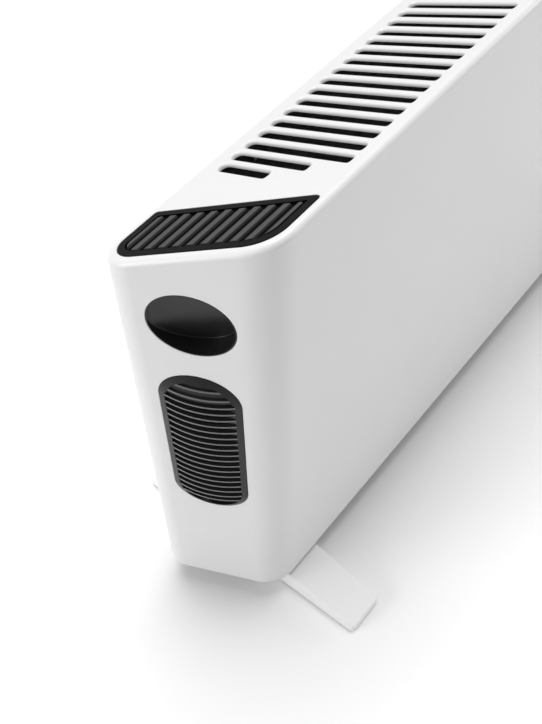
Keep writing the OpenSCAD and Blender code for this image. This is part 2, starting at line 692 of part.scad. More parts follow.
// Heat shield between the element and the front, with the cut-out above the fins
shield_y = -inner_front + shield_gap;
shield_t = 0.8;
shield_foot = 10;
shield_from = fan_x + plate_t + fit_gap;
shield_l = partition_x - fit_gap - shield_from;
module heat_shield() color("lightgray") {
    translate([shield_from, shield_y, floor_z]) cube([shield_l, shield_t, plate_h]);
    translate([shield_from, shield_y, floor_z]) cube([shield_l, shield_foot, shield_t]);
}
cutout_r = 8;
cutout_h = 7;
cutout_tab = 4;
cutout_offset = 60;
cutout_rise = 24;
module thermal_cutout() color("dimgray")
    translate([element_x + cutout_offset, shield_y + shield_t, element_z + fin_h / 2 + cutout_rise]) {
        rotate([-90, 0, 0]) cylinder(r = cutout_r, h = cutout_h);
        translate([-cutout_r - cutout_tab, 0, -cutout_r / 2])
            cube([2 * (cutout_r + cutout_tab), 1, cutout_r]);
    }

// Fan: a plate with four openings, a motor behind it and the impeller towards the end grille
boss_r = 8;
boss_out = 2;
spoke_w = 8;
shaft_grip = 18;
blade_t = 1.6;
blade_root = 1.5;
blade_angle = 55;
module fan_plate() color("gainsboro") difference() {
    cross_sheet(fan_x, plate_t, plate_h);
    translate([fan_x - 1, 0, fan_z]) rotate([0, 90, 0]) {
        difference() {
            cylinder(r = fan_r + 1.5, h = plate_t + 2);
            translate([0, 0, -1]) cylinder(r = motor_r - 4, h = plate_t + 4);
            for (a = [45, 135]) rotate([0, 0, a]) translate([-fan_r - 4, -spoke_w / 2, -1])
                cube([2 * fan_r + 8, spoke_w, plate_t + 4]);
        }
        cylinder(r = boss_r + fit_gap, h = plate_t + 2);
    }
}
module fan_motor() color("darkgray") translate([fan_x + plate_t, 0, fan_z]) rotate([0, 90, 0]) difference() {
    union() {
        cylinder(r = motor_r, h = motor_l);
        translate([0, 0, -plate_t - boss_out]) cylinder(r = boss_r, h = plate_t + boss_out + 1);
    }
    translate([0, 0, -plate_t - 2 * boss_out])
        cylinder(r = shaft_r + run_gap, h = plate_t + 2 * boss_out + shaft_grip + fit_gap);
}
module fan_impeller() color([0.25, 0.25, 0.27])
    translate([fan_x - boss_out - move_gap - blade_w, 0, fan_z]) rotate([0, 90, 0]) {
        cylinder(r = hub_r, h = blade_w);
        cylinder(r = shaft_r, h = blade_w + move_gap + boss_out + shaft_grip);
        for (k = [0 : blade_count - 1]) rotate([0, 0, k * 360 / blade_count]) intersection() {
            translate([0, 0, blade_w / 2]) rotate([blade_angle, 0, 0])
                translate([hub_r - blade_root, -blade_t / 2, -blade_w]) cube([fan_r, blade_t, 2 * blade_w]);
            cylinder(r = fan_r, h = blade_w);
        }
    }

// Control side: partition, terminal block and cord inlet
module control_partition() color("gainsboro") cross_sheet(partition_x, bracket_t, plate_h + partition_over);
terminal_ways = 4;
terminal_pitch = 11;
terminal_d = 16;
terminal_h = 18;
terminal_rise = 70;
module terminal_block() color("ivory")
    translate([partition_x + bracket_t, -terminal_ways * terminal_pitch / 2, floor_z + terminal_rise])
        difference() {
            cube([terminal_d, terminal_ways * terminal_pitch, terminal_h]);
            for (k = [0 : terminal_ways - 1])
                translate([terminal_d / 2, (k + 0.5) * terminal_pitch, terminal_h / 2])
                    cylinder(r = 3, h = terminal_h);
        }
inlet_collar = 2.5;
inlet_neck_l = 12;
module cord_inlet() color(black) translate([inlet_x, body_d / 2, inlet_z]) rotate([90, 0, 0]) difference() {
    union() {
        translate([0, 0, -inlet_collar]) cylinder(r = inlet_neck_r + 3, h = inlet_collar);
        cylinder(r = inlet_neck_r, h = inlet_neck_l);
        translate([0, 0, sheet_t]) cylinder(r = inlet_neck_r + 1.5, h = 2);
    }
    translate([0, 0, -inlet_neck_l]) cylinder(r = inlet_bore_r, h = 3 * inlet_neck_l);
}

casing();
rear_cover();
base_tray();
left_insert();
control_panel();
left_grip_cup();
right_grip_cup();
left_end_grille();
right_end_grille();
left_foot();
right_foot();
foot_pads();
foot_screws();
cover_screws();
heating_element();
element_bushes();
element_brackets();
heat_shield();
thermal_cutout();
fan_plate();
fan_motor();
fan_impeller();
thermostat();
thermostat_shaft();
thermostat_knob();
low_heat_switch();
low_heat_rocker();
high_heat_switch();
high_heat_rocker();
control_partition();
terminal_block();
cord_inlet();
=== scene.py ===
from math import cos, pi, radians, sin, tan

import bmesh
import bpy
from mathutils import Matrix, Vector


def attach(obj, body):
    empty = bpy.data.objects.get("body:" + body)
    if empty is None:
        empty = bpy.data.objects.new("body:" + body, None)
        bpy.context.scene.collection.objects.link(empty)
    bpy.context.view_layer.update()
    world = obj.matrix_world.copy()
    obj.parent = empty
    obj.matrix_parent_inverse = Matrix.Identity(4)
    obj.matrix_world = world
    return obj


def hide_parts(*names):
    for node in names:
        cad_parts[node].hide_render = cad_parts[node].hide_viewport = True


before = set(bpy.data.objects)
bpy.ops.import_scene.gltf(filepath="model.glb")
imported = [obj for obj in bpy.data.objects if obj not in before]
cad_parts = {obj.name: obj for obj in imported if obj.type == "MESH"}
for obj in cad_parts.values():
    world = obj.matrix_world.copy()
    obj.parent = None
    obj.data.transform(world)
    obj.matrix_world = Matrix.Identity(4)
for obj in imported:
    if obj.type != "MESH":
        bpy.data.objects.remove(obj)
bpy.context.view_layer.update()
mm = 0.001
print("frame loaded:", len(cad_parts), "nodes")


# Camera, solved on the outlet slots and the edges of the body
camera = {
    "place": Vector((-547.04, -251.34, 799.52)) * mm,
    "right": Vector((0.62522, -0.78034, -0.01316)),
    "up": Vector((0.64106, 0.50387, 0.57893)),
    "focalPixels": 994.79,
    "framePixels": 724,
    "sensor": 36,
    "nearest": 0.02,
    "farthest": 20,
}


def addCamera():
    data = bpy.data.cameras.new("camera")
    data.sensor_width = camera["sensor"]
    data.lens = camera["sensor"] * camera["focalPixels"] / camera["framePixels"]
    data.clip_start = camera["nearest"]
    data.clip_end = camera["farthest"]
    shown = bpy.data.objects.new("camera", data)
    bpy.context.scene.collection.objects.link(shown)
    axes = Matrix((camera["right"], camera["up"], camera["right"].cross(camera["up"]))).transposed()
    shown.matrix_world = Matrix.Translation(camera["place"]) @ axes.to_4x4()
    bpy.context.scene.camera = shown


addCamera()
print("camera set")


# Selecting and shaping, as by hand. Pieces are shaped in millimetres and scaled at the end.
touching = 0.01             # two places nearer than this are the same
aligned = 0.99              # and two directions whose product is larger than this
sharpTurn = 40              # edges that turn more than these degrees are bevelled
crispTurn = 35              # and more than these are shaded as an edge


def noSelection():
    if bpy.context.object and bpy.context.object.mode != "OBJECT":
        bpy.ops.object.mode_set(mode="OBJECT")
    bpy.ops.object.select_all(action="DESELECT")


def activate(piece):
    noSelection()
    piece.select_set(True)
    bpy.context.view_layer.objects.active = piece


def openEdit(piece):
    activate(piece)
    bpy.ops.object.mode_set(mode="EDIT")
    bpy.ops.mesh.select_all(action="DESELECT")


def closeEdit():
    bpy.ops.object.mode_set(mode="OBJECT")


def pick(piece, kind, wanted):
    bpy.ops.mesh.select_mode(type=kind)
    bpy.ops.mesh.select_all(action="DESELECT")
    mesh = bmesh.from_edit_mesh(piece.data)
    parts = {"VERT": mesh.verts, "EDGE": mesh.edges, "FACE": mesh.faces}[kind]
    for part in parts:
        if wanted(part):
            part.select_set(True)
    mesh.select_flush_mode()
    bmesh.update_edit_mesh(piece.data)


def middle(edge):
    return (edge.verts[0].co + edge.verts[1].co) / 2


def isUpright(edge):
    return abs((edge.verts[1].co - edge.verts[0].co).normalized().z) > aligned


def isSharp(edge, turn=sharpTurn):
    return edge.calc_face_angle(0) > radians(turn)


def move(x=0, y=0, z=0):
    bpy.ops.transform.translate(value=(x, y, z))


def squeeze(piece, wanted, scale, pivot):
    pick(piece, "VERT", wanted)
    bpy.ops.transform.resize(value=scale, center_override=pivot)


def roundEdges(piece, wanted, radius, segments, profile=0.5):
    pick(piece, "EDGE", wanted)
    bpy.ops.mesh.bevel(offset_type="OFFSET", offset=radius, segments=segments, profile=profile,
                       affect="EDGES")


def cutAcross(piece, height, keepAbove):
    openEdit(piece)
    bpy.ops.mesh.select_all(action="SELECT")
    bpy.ops.mesh.bisect(plane_co=(0, height, 0), plane_no=(0, 1, 0), use_fill=True,
                        clear_inner=keepAbove, clear_outer=not keepAbove)
    closeEdit()
    return piece


def turnOutwards(piece):
    openEdit(piece)
    bpy.ops.mesh.select_all(action="SELECT")
    bpy.ops.mesh.normals_make_consistent(inside=False)
    closeEdit()


def applyModifier(piece, kind, **settings):
    modifier = piece.modifiers.new(kind.lower(), kind)
    for name, value in settings.items():
        setattr(modifier, name, value)
    activate(piece)
    bpy.ops.object.modifier_apply(modifier=modifier.name)


def bevelSharp(piece, width, segments, turn=sharpTurn):
    applyModifier(piece, "BEVEL", width=width, segments=segments, limit_method="ANGLE",
                  angle_limit=radians(turn))


def combine(piece, tool, operation="DIFFERENCE"):
    applyModifier(piece, "BOOLEAN", object=tool, operation=operation, solver="EXACT",
                  material_mode="TRANSFER")
    bpy.data.objects.remove(tool)


def joined(pieces):
    noSelection()
    for piece in pieces:
        piece.select_set(True)
    bpy.context.view_layer.objects.active = pieces[0]
    bpy.ops.object.join()
    return bpy.context.object


def placeAt(piece, matrix):
    piece.matrix_world = matrix @ piece.matrix_world
    activate(piece)
    bpy.ops.object.transform_apply(location=True, rotation=True, scale=True)
    if matrix.determinant() < 0:
        turnOutwards(piece)
    return piece


def copyAt(model, matrix):
    twin = model.copy()
    twin.data = model.data.copy()
    bpy.context.scene.collection.objects.link(twin)
    return placeAt(twin, matrix)


def discard(models):
    for model in models:
        bpy.data.objects.remove(model)


def block(name, size, centre=(0, 0, 0)):
    noSelection()
    bpy.ops.mesh.primitive_cube_add(size=1, location=centre, scale=size)
    piece = bpy.context.object
    piece.name = name
    bpy.ops.object.transform_apply(location=True, rotation=True, scale=True)
    return piece


def drum(name, radius, low, high, sides):
    noSelection()
    bpy.ops.mesh.primitive_cylinder_add(vertices=sides, radius=radius, depth=high - low,
                                        location=(0, 0, (low + high) / 2))
    piece = bpy.context.object
    piece.name = name
    bpy.ops.object.transform_apply(location=True, rotation=True, scale=True)
    return piece


def settle(piece, name, carrier, finish, replaced=()):
    piece.name = piece.data.name = name
    placeAt(piece, Matrix.Scale(mm, 4))
    bpy.ops.object.shade_smooth_by_angle(angle=radians(crispTurn))
    applyModifier(piece, "WEIGHTED_NORMAL", mode="FACE_AREA", keep_sharp=True)
    if not any(piece.data.materials):
        piece.data.materials.clear()
        piece.data.materials.append(finish)
    if replaced:
        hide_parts(*replaced)
    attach(piece, carrier)
    return piece


# Shader maths as plain expressions
class Wire:
    def __init__(self, tree, socket):
        self.tree, self.socket = tree, socket

    def maths(self, operation, first, second):
        node = self.tree.nodes.new("ShaderNodeMath")
        node.operation = operation
        for socket, value in zip(node.inputs, (first, second)):
            if isinstance(value, Wire):
                self.tree.links.new(value.socket, socket)
            else:
                socket.default_value = value
        return Wire(self.tree, node.outputs[0])

    def __add__(self, other):
        return self.maths("ADD", self, other)

    def __radd__(self, other):
        return self.maths("ADD", other, self)

    def __sub__(self, other):
        return self.maths("SUBTRACT", self, other)

    def __rsub__(self, other):
        return self.maths("SUBTRACT", other, self)

    def __mul__(self, other):
        return self.maths("MULTIPLY", self, other)

    def __rmul__(self, other):
        return self.maths("MULTIPLY", other, self)

    def __gt__(self, other):
        return self.maths("GREATER_THAN", self, other)

    def __lt__(self, other):
        return self.maths("LESS_THAN", self, other)


class Finish:
    def __init__(self, name):
        self.material = bpy.data.materials.new(name)
        self.material.use_nodes = True
        self.tree = self.material.node_tree
        self.shader = self.tree.nodes["Principled BSDF"]
        self.place = self.node("TexCoord")["Object"]

    def node(self, kind, settings=None, values=None):
        node = self.tree.nodes.new("ShaderNode" + kind)
        for name, value in (settings or {}).items():
            setattr(node, name, value)
        self.fill(node, values or {})
        return {socket.name: Wire(self.tree, socket) for socket in node.outputs if socket.enabled}

    def fill(self, node, values):
        for name, value in values.items():
            socket = next(s for s in node.inputs if s.enabled and s.name == name)
            if isinstance(value, Wire):
                self.tree.links.new(value.socket, socket)
            else:
                socket.default_value = value

    def set(self, **values):
        names = {"colour": "Base Color", "roughness": "Roughness", "metallic": "Metallic",
                 "coat": "Coat Weight", "coatRoughness": "Coat Roughness", "normal": "Normal",
                 "specular": "Specular IOR Level"}
        self.fill(self.shader, {names[name]: value for name, value in values.items()})
        return self.material

    def noise(self, size, detail, stretch=(1, 1, 1)):
        place = self.node("Mapping", {}, {"Vector": self.place, "Scale": stretch})["Vector"]
        values = {"Vector": place, "Scale": 1 / (size * mm), "Detail": detail}
        return self.node("TexNoise", {}, values)["Fac"]

    def blend(self, factor, first, second):
        tones = [tuple(tone) + (1,) if isinstance(tone, tuple) else tone for tone in (first, second)]
        values = {"Factor": factor, "A": tones[0], "B": tones[1]}
        return self.node("Mix", {"data_type": "RGBA"}, values)["Result"]

    def bump(self, height, depth):
        return self.node("Bump", {}, {"Height": height, "Distance": depth * mm, "Strength": 1.0})["Normal"]


def grey(tone, warmth=0.0):
    return (tone * (1 + warmth), tone, tone * (1 - warmth))


# Sizes are in millimetres. Darkest and lightest are shares of the tone, or colours for ceramic.
moulding = {"patch": 90, "darkest": 0.975, "lightest": 1.02, "spread": 0.08, "coatRoughness": 0.15}


def mouldedPlastic(name, tone, roughness, grain, grainDepth, warmth=0.0, coat=0.0, specular=0.5):
    finish = Finish(name)
    broad = finish.noise(moulding["patch"], detail=3)
    fine = finish.noise(grain, detail=2)
    colour = finish.blend(broad, grey(tone * moulding["darkest"], warmth),
                          grey(tone * moulding["lightest"], warmth))
    dullness = roughness + moulding["spread"] * (fine - 0.5)
    return finish.set(colour=colour, roughness=dullness, coat=coat, coatRoughness=moulding["coatRoughness"],
                      specular=specular, normal=finish.bump(fine, grainDepth))


brushing = {"streak": 0.6, "patch": 40, "patchShare": 0.6, "darkest": 0.88, "spread": 0.2, "depth": 0.01}


def sheetMetal(name, tone, roughness, stretch):
    finish = Finish(name)
    streaks = finish.noise(brushing["streak"], detail=3, stretch=stretch)
    broad = finish.noise(brushing["patch"], detail=3)
    wear = broad * brushing["patchShare"] + streaks * (1 - brushing["patchShare"])
    colour = finish.blend(wear, grey(tone * brushing["darkest"]), grey(tone))
    dullness = roughness + brushing["spread"] * (streaks - 0.5)
    return finish.set(colour=colour, metallic=1.0, roughness=dullness,
                      normal=finish.bump(streaks, brushing["depth"]))


padRubber = {"tone": 0.025, "grain": 0.8, "dust": 14, "darkest": 0.8, "lightest": 1.3, "roughness": 0.75,
             "spread": 0.15, "depth": 0.05, "specular": 0.3}


def rubber(name):
    finish = Finish(name)
    grain = finish.noise(padRubber["grain"], detail=4)
    dust = finish.noise(padRubber["dust"], detail=4)
    colour = finish.blend(dust, grey(padRubber["tone"] * padRubber["darkest"]),
                          grey(padRubber["tone"] * padRubber["lightest"]))
    dullness = padRubber["roughness"] + padRubber["spread"] * grain
    return finish.set(colour=colour, roughness=dullness, specular=padRubber["specular"],
                      normal=finish.bump(grain, padRubber["depth"]))


coverPaint = {"tone": 0.78, "paintedShadeTone": 0.025, "outerFace": 47.5, "peel": 1.4, "patch": 70,
              "darkest": 0.97, "lightest": 1.02, "roughness": 0.42, "spread": 0.08, "depth": 0.03}


def paintedSteel(name):
    # White on the rear face; the inner face, which lies further forward, is given a near-black painted
    # shade so the inside looks dark
    finish = Finish(name)
    peel = finish.noise(coverPaint["peel"], detail=2)
    broad = finish.noise(coverPaint["patch"], detail=3)
    white = finish.blend(broad, grey(coverPaint["tone"] * coverPaint["darkest"]),
                         grey(coverPaint["tone"] * coverPaint["lightest"]))
    depth = finish.node("SeparateXYZ", {}, {"Vector": finish.place})["Y"]
    # Near-black painted shade wherever the cover lies in front of its outer face
    colour = finish.blend(depth > coverPaint["outerFace"] * mm, grey(coverPaint["paintedShadeTone"]), white)
    dullness = coverPaint["roughness"] + coverPaint["spread"] * peel
    return finish.set(colour=colour, roughness=dullness, normal=finish.bump(peel, coverPaint["depth"]))


bushCeramic = {"darkest": (0.62, 0.57, 0.48), "lightest": (0.78, 0.75, 0.68), "grain": 0.7, "stain": 6,
               "roughness": 0.55, "spread": 0.2, "depth": 0.04}


def ceramic(name):
    finish = Finish(name)
    grain = finish.noise(bushCeramic["grain"], detail=4)
    stain = finish.noise(bushCeramic["stain"], detail=3)
    colour = finish.blend(stain, bushCeramic["darkest"], bushCeramic["lightest"])
    dullness = bushCeramic["roughness"] + bushCeramic["spread"] * grain
    return finish.set(colour=colour, roughness=dullness, normal=finish.bump(grain, bushCeramic["depth"]))


finishes = {
    # Plastics: tone, roughness, size and depth of the grain
    "whitePlastic": mouldedPlastic("whitePlastic", 0.72, 0.36, 0.9, 0.006, coat=0.15),
    "footPlastic": mouldedPlastic("footPlastic", 0.86, 0.42, 0.8, 0.008),
    # The casing's inner walls get a near-black painted shade, so the inside seen through the slots and
    # holes looks dark
    "paintedInsideShade": mouldedPlastic("paintedInsideShade", 0.03, 0.6, 1.2, 0.02),
    "blackGloss": mouldedPlastic("blackGloss", 0.004, 0.2, 0.5, 0.004, specular=0.14),
    "blackSatin": mouldedPlastic("blackSatin", 0.010, 0.3, 0.5, 0.006, specular=0.2),
    "cupSatin": mouldedPlastic("cupSatin", 0.015, 0.3, 0.5, 0.006, specular=0.24),
    "slatSatin": mouldedPlastic("slatSatin", 0.025, 0.22, 0.5, 0.006, coat=0.5, specular=0.8),
    "ribMatt": mouldedPlastic("ribMatt", 0.065, 0.6, 0.35, 0.03, specular=0.3),
    "trayPlastic": mouldedPlastic("trayPlastic", 0.05, 0.55, 0.8, 0.03),
    "fanPlastic": mouldedPlastic("fanPlastic", 0.03, 0.45, 0.8, 0.02),
    "partPlastic": mouldedPlastic("partPlastic", 0.16, 0.5, 0.7, 0.02, warmth=0.25),
    "terminalPlastic": mouldedPlastic("terminalPlastic", 0.62, 0.45, 0.7, 0.02, warmth=0.06),
    "pointerWhite": mouldedPlastic("pointerWhite", 0.75, 0.5, 0.5, 0.004),
    # Metals: tone, roughness, stretch of the streaks
    "platedSheet": sheetMetal("platedSheet", 0.62, 0.34, (1, 1, 0.06)),
    "finMetal": sheetMetal("finMetal", 0.55, 0.42, (0.06, 1, 1)),
    "screwSteel": sheetMetal("screwSteel", 0.6, 0.3, (1, 1, 1)),
    "motorSteel": sheetMetal("motorSteel", 0.4, 0.38, (0.1, 1, 1)),
    "whiteSteel": paintedSteel("whiteSteel"),
    "rubber": rubber("rubber"),
    "ceramic": ceramic("ceramic"),
}

nodeFinish = {
    "rear_cover": "whiteSteel", "base_tray": "trayPlastic", "control_panel": "blackGloss",
    "foot_pads": "rubber", "foot_screws": "screwSteel", "cover_screws": "screwSteel",
    "heating_element": "finMetal", "element_bushes": "ceramic", "element_brackets": "platedSheet",
    "heat_shield": "platedSheet", "thermal_cutout": "partPlastic", "fan_plate": "platedSheet",
    "fan_motor": "motorSteel", "fan_impeller": "fanPlastic", "thermostat": "partPlastic",
    "thermostat_shaft": "screwSteel", "thermostat_knob": "blackSatin", "low_heat_switch": "blackSatin",
    "low_heat_rocker": "blackSatin", "high_heat_switch": "blackSatin", "high_heat_rocker": "blackSatin",
    "control_partition": "platedSheet", "terminal_block": "terminalPlastic", "cord_inlet": "blackSatin",
    "casing": "whitePlastic", "left_insert": "blackGloss", "left_grip_cup": "blackSatin",
    "right_grip_cup": "blackSatin", "left_end_grille": "blackSatin", "right_end_grille": "blackSatin",
    "left_foot": "footPlastic", "right_foot": "footPlastic",
}
for nodeName, finishName in nodeFinish.items():
    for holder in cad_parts[nodeName].material_slots:
        holder.material = finishes[finishName]
print("finishes made:", len(finishes))


# The body: a block with slanted ends and a sloping top
body = {
    "length": 686,          # along the rear, to the sharp corners
    "depth": 96,
    "bottom": 30,
    "rearTop": 400,
    "topSlope": 22.6,       # degrees, falling to the rear
    "endSlant": 24.7,       # degrees in plan
    "wall": 2.5,
    "rearFrame": 4,
    "frontRadius": 30,
    "rearRadius": 17,
    "rimRadius": 5,
    "rimProfile": 0.447,    # keeps the acute front edge round
    "bottomRadius": 2.2,
    "cornerSegments": 16,
    "cavitySegments": 12,
    "cutterReach": 9,       # cutters go this far out of the body and into it
}
ends = {"left": -1, "right": 1}
topSlope = radians(body["topSlope"])
endSlant = radians(body["endSlant"])
halfDepth = body["depth"] / 2
endDistance = body["length"] / 2 * cos(endSlant) - halfDepth * sin(endSlant)
# Each side: the angle of its normal, its distance from the middle, the radius of its next corner
bodySides = [
    (90, halfDepth, body["rearRadius"]),
    (180 + body["endSlant"], endDistance, body["frontRadius"]),
    (270, halfDepth, body["frontRadius"]),
    (360 - body["endSlant"], endDistance, body["rearRadius"]),
]
topFrame = Matrix.Translation((0, halfDepth, body["rearTop"])) @ Matrix.Rotation(-topSlope, 4, "X")
topNormal = Vector((0, sin(topSlope), cos(topSlope)))
mirrorX = Matrix.Scale(-1, 4, (1, 0, 0))


def heightAt(y, drop=0):
    return body["rearTop"] + (halfDepth - y) * tan(topSlope) - drop / cos(topSlope)


def isOnTop(edge):
    return all(abs(v.co.z - heightAt(v.co.y)) < touching for v in edge.verts)


def meeting(first, second):
    # Where two sides meet
    a, b = radians(first[0]), radians(second[0])
    x = (first[1] * sin(b) - second[1] * sin(a)) / sin(b - a)
    y = (second[1] * cos(a) - first[1] * cos(b)) / sin(b - a)
    return Vector((x, y))


def prism(name, sides, inset, lowAt, highAt, segments):
    # Four-sided block; lowAt and highAt give its height at any depth y
    drawn = [(angle, distance - inset, max(radius - inset, 0)) for angle, distance, radius in sides]
    corners = [meeting(drawn[k], drawn[(k + 1) % 4]) for k in range(4)]
    piece = block(name, (2, 2, 2))
    signs = [(-1, 1), (-1, -1), (1, -1), (1, 1)]
    start = {v.index: v.co.copy() for v in piece.data.vertices}
    openEdit(piece)
    for index, place in start.items():
        corner = corners[signs.index((round(place.x), round(place.y)))]
        height = (highAt if place.z > 0 else lowAt)(corner.y)
        pick(piece, "VERT", lambda v: v.index == index)
        move(*(Vector((corner.x, corner.y, height)) - place))
    for k, corner in enumerate(corners):
        radius = drawn[k][2]
        turn = radians((drawn[(k + 1) % 4][0] - drawn[k][0]) % 360)
        if radius > 0:
            circular = (1 - 0.5 / (1 + cos(turn / 2))) ** 2     # bevel profile that gives a true arc
            roundEdges(piece, lambda e: isUpright(e) and (middle(e).xy - corner).length < touching,
                       radius * tan(turn / 2), segments, circular)
    closeEdit()
    turnOutwards(piece)
    return piece


def openMouth(piece, inward, lip, depth, steps):
    # The face towards the body narrows over a rounded lip, then goes through the wall
    openEdit(piece)
    pick(piece, "FACE", lambda f: f.normal.dot(inward) > aligned)
    reach = drop = 0
    for k in range(1, steps + 1):
        newReach, newDrop = lip * sin(pi / 2 * k / steps), lip * (1 - cos(pi / 2 * k / steps))
        bpy.ops.mesh.inset(thickness=newReach - reach, depth=newDrop - drop)
        reach, drop = newReach, newDrop
    bpy.ops.mesh.extrude_region_move(TRANSFORM_OT_translate={"value": (0, 0, -depth)})
    closeEdit()
    return piece


slots = {
    "width": 8.2,
    "pitch": 11.9,
    "lengths": (38, 58, 79),    # outermost, second and all the others
    "fromRear": 14,
    "count": 42,
    "lip": 1.8,             # rounded edge on the side towards the controls
    "crisp": 0.15,          # share of it left on the other side
    "endCrisp": 0.4,
    "cutterHeight": 3,
    "cutterDepth": 6,
}


def slotCutter(length):
    lip = slots["lip"]
    width = slots["width"] + 2 * lip
    high = slots["cutterHeight"]
    piece = block("slotCutter", (width, length + 2 * lip, high), (width / 2 - lip, -length / 2, high / 2))
    openEdit(piece)
    roundEdges(piece, isUpright, width / 2, segments=8)
    bpy.ops.mesh.select_all(action="SELECT")
    bpy.ops.mesh.remove_doubles(threshold=touching)
    closeEdit()
    openMouth(piece, Vector((0, 0, -1)), lip, slots["cutterDepth"], steps=5)
    openEdit(piece)
    squeeze(piece, lambda v: v.co.x < -touching, (slots["crisp"], 1, 1), (0, 0, 0))
    squeeze(piece, lambda v: v.co.y > touching, (1, slots["endCrisp"], 1), (0, 0, 0))
    squeeze(piece, lambda v: v.co.y < -length - touching, (1, slots["endCrisp"], 1), (0, -length, 0))
    closeEdit()
    return piece


def slotCutters():
    kinds = [slotCutter(length) for length in slots["lengths"]]
    first = -((slots["count"] - 1) * slots["pitch"] + slots["width"]) / 2
    made = []
    for k in range(slots["count"]):
        kind = kinds[min(k, slots["count"] - 1 - k, len(kinds) - 1)]
        spot = Matrix.Translation((first + k * slots["pitch"], -slots["fromRear"], 0))
        made.append(copyAt(kind, topFrame @ spot))
    discard(kinds)
    return made


insert = {
    "rim": 6,
    "width": 39.5,
    "innerRadius": 2.5,
    "cornerSegments": 14,
    "gap": 0.3,
    "lip": 0.5,
    "thick": 3,
    "edge": 0.5,
    "clear": 6,             # tools stand this far past the plate
    "ribs": 11,
    "ribWidth": 3.4,
    "ribHeight": 1.4,
    "ribProud": 0.05,
    "ribEnd": 1.3,
    "ribEdge": 0.7,
    "ribTurn": 30,
    "ribBorder": 5.5,
    "bedBorder": 4.2,
}
insertSides = [
    (90, halfDepth - insert["rim"], body["rearRadius"] - insert["rim"]),
    (180 + body["endSlant"], endDistance - insert["rim"], body["frontRadius"] - insert["rim"]),
    (270, halfDepth - insert["rim"], insert["innerRadius"]),
    (360 + body["endSlant"], insert["rim"] + insert["width"] - endDistance, insert["innerRadius"]),
]


def insertPrism(name, inset, drop, rise=0):
    return prism(name, insertSides, inset, lambda y: heightAt(y, drop), lambda y: heightAt(y) + rise,
                 insert["cornerSegments"])


def insertCutter():
    piece = insertPrism("insertCutter", -insert["gap"] - insert["lip"], 0, body["cutterReach"])
    return openMouth(piece, -topNormal, insert["lip"], body["cutterReach"], steps=3)


endFace = {
    "cupRadius": 26.5,
    "cupDrop": 35,
    "grilleWidth": 53.5,
    "grilleHeight": 162,
    "grilleDrop": 164.2,
    "cornerMargin": 1.9,
    "lip": 0.4,
    "cupSides": 96,
    "archSides": 120,
}
# Along the end, from the sharp rear corner to the middle of the cup and the grille
fromRearCorner = (body["depth"] / cos(endSlant) - endFace["grilleWidth"] / 2 - endFace["cornerMargin"]
                  - body["frontRadius"] * tan((pi / 2 - endSlant) / 2))


def endFrame(drop, side):
    # Local x runs from rear to front along the end, y up and z out of the end
    s, c = sin(endSlant), cos(endSlant)
    turned = Matrix(((s, 0, -c), (-c, 0, -s), (0, 1, 0))).to_4x4()
    place = (fromRearCorner * s - body["length"] / 2, halfDepth - fromRearCorner * c,
             body["rearTop"] - drop)
    placed = Matrix.Translation(place) @ turned
    return placed if side < 0 else mirrorX @ placed


def drawApart(piece):
    # The halves of a round form move apart until it is as long as the grille
    openEdit(piece)
    for sign in (1, -1):
        pick(piece, "VERT", lambda v: v.co.y * sign > touching)
        move(y=sign * (endFace["grilleHeight"] - endFace["grilleWidth"]) / 2)
    closeEdit()
    return piece


def archBlock(name, inset, low, high):
    return drawApart(drum(name, endFace["grilleWidth"] / 2 - inset, low, high, endFace["archSides"]))


def cupCutter():
    piece = drum("cupCutter", endFace["cupRadius"] + endFace["lip"], 0, body["cutterReach"],
                 endFace["cupSides"])
    return openMouth(piece, Vector((0, 0, -1)), endFace["lip"], body["cutterReach"], steps=3)


def grilleCutter():
    piece = archBlock("grilleCutter", -endFace["lip"], 0, body["cutterReach"])
    return openMouth(piece, Vector((0, 0, -1)), endFace["lip"], body["cutterReach"], steps=3)


rearOpening = {"length": 590, "drop": 24, "ledge": 11, "sheet": 1, "through": 5}


def rearBlock(name, grow, depth):
    # Cuts from the rear into the body, and down past its bottom
    top = body["rearTop"] - rearOpening["drop"] + grow
    low = body["bottom"] - body["cutterReach"]
    size = (rearOpening["length"] + 2 * grow, 2 * depth, top - low)
    return block(name, size, (0, halfDepth, (top + low) / 2))


def makeCasing():
    bottom = body["bottom"]
    below = bottom - body["cutterReach"]
    shell = prism("casing", bodySides, 0, lambda y: bottom, heightAt, body["cornerSegments"])
    openEdit(shell)
    roundEdges(shell, isOnTop, body["rimRadius"], segments=8, profile=body["rimProfile"])
    roundEdges(shell, lambda e: all(abs(v.co.z - bottom) < touching for v in e.verts),
               body["bottomRadius"], segments=4)
    closeEdit()
    rearSide = (90, halfDepth - body["rearFrame"] + body["wall"], body["rearRadius"])
    cavity = prism("cavity", [rearSide] + bodySides[1:], body["wall"], lambda y: below,
                   lambda y: heightAt(y, body["wall"]), body["cavitySegments"])
    shell.data.materials.append(finishes["whitePlastic"])
    # The cavity's faces carry the near-black painted shade onto the casing's inner walls
    cavity.data.materials.append(finishes["paintedInsideShade"])
    combine(shell, cavity)
    combine(shell, rearBlock("rearOpening", 0, rearOpening["through"]))
    combine(shell, rearBlock("rearLedge", rearOpening["ledge"], rearOpening["sheet"]))
    models = [insertCutter(), cupCutter(), grilleCutter()]
    cutters = slotCutters()
    for side in ends.values():
        turn = Matrix.Identity(4) if side < 0 else mirrorX
        places = [turn, endFrame(endFace["cupDrop"], side), endFrame(endFace["grilleDrop"], side)]
        cutters += [copyAt(model, place) for model, place in zip(models, places)]
    discard(models)
    combine(shell, joined(cutters))
    return settle(shell, "casingShell", "heater", finishes["whitePlastic"], ["casing"])


casingShell = makeCasing()
print("casing shell made:", len(casingShell.data.polygons), "faces")


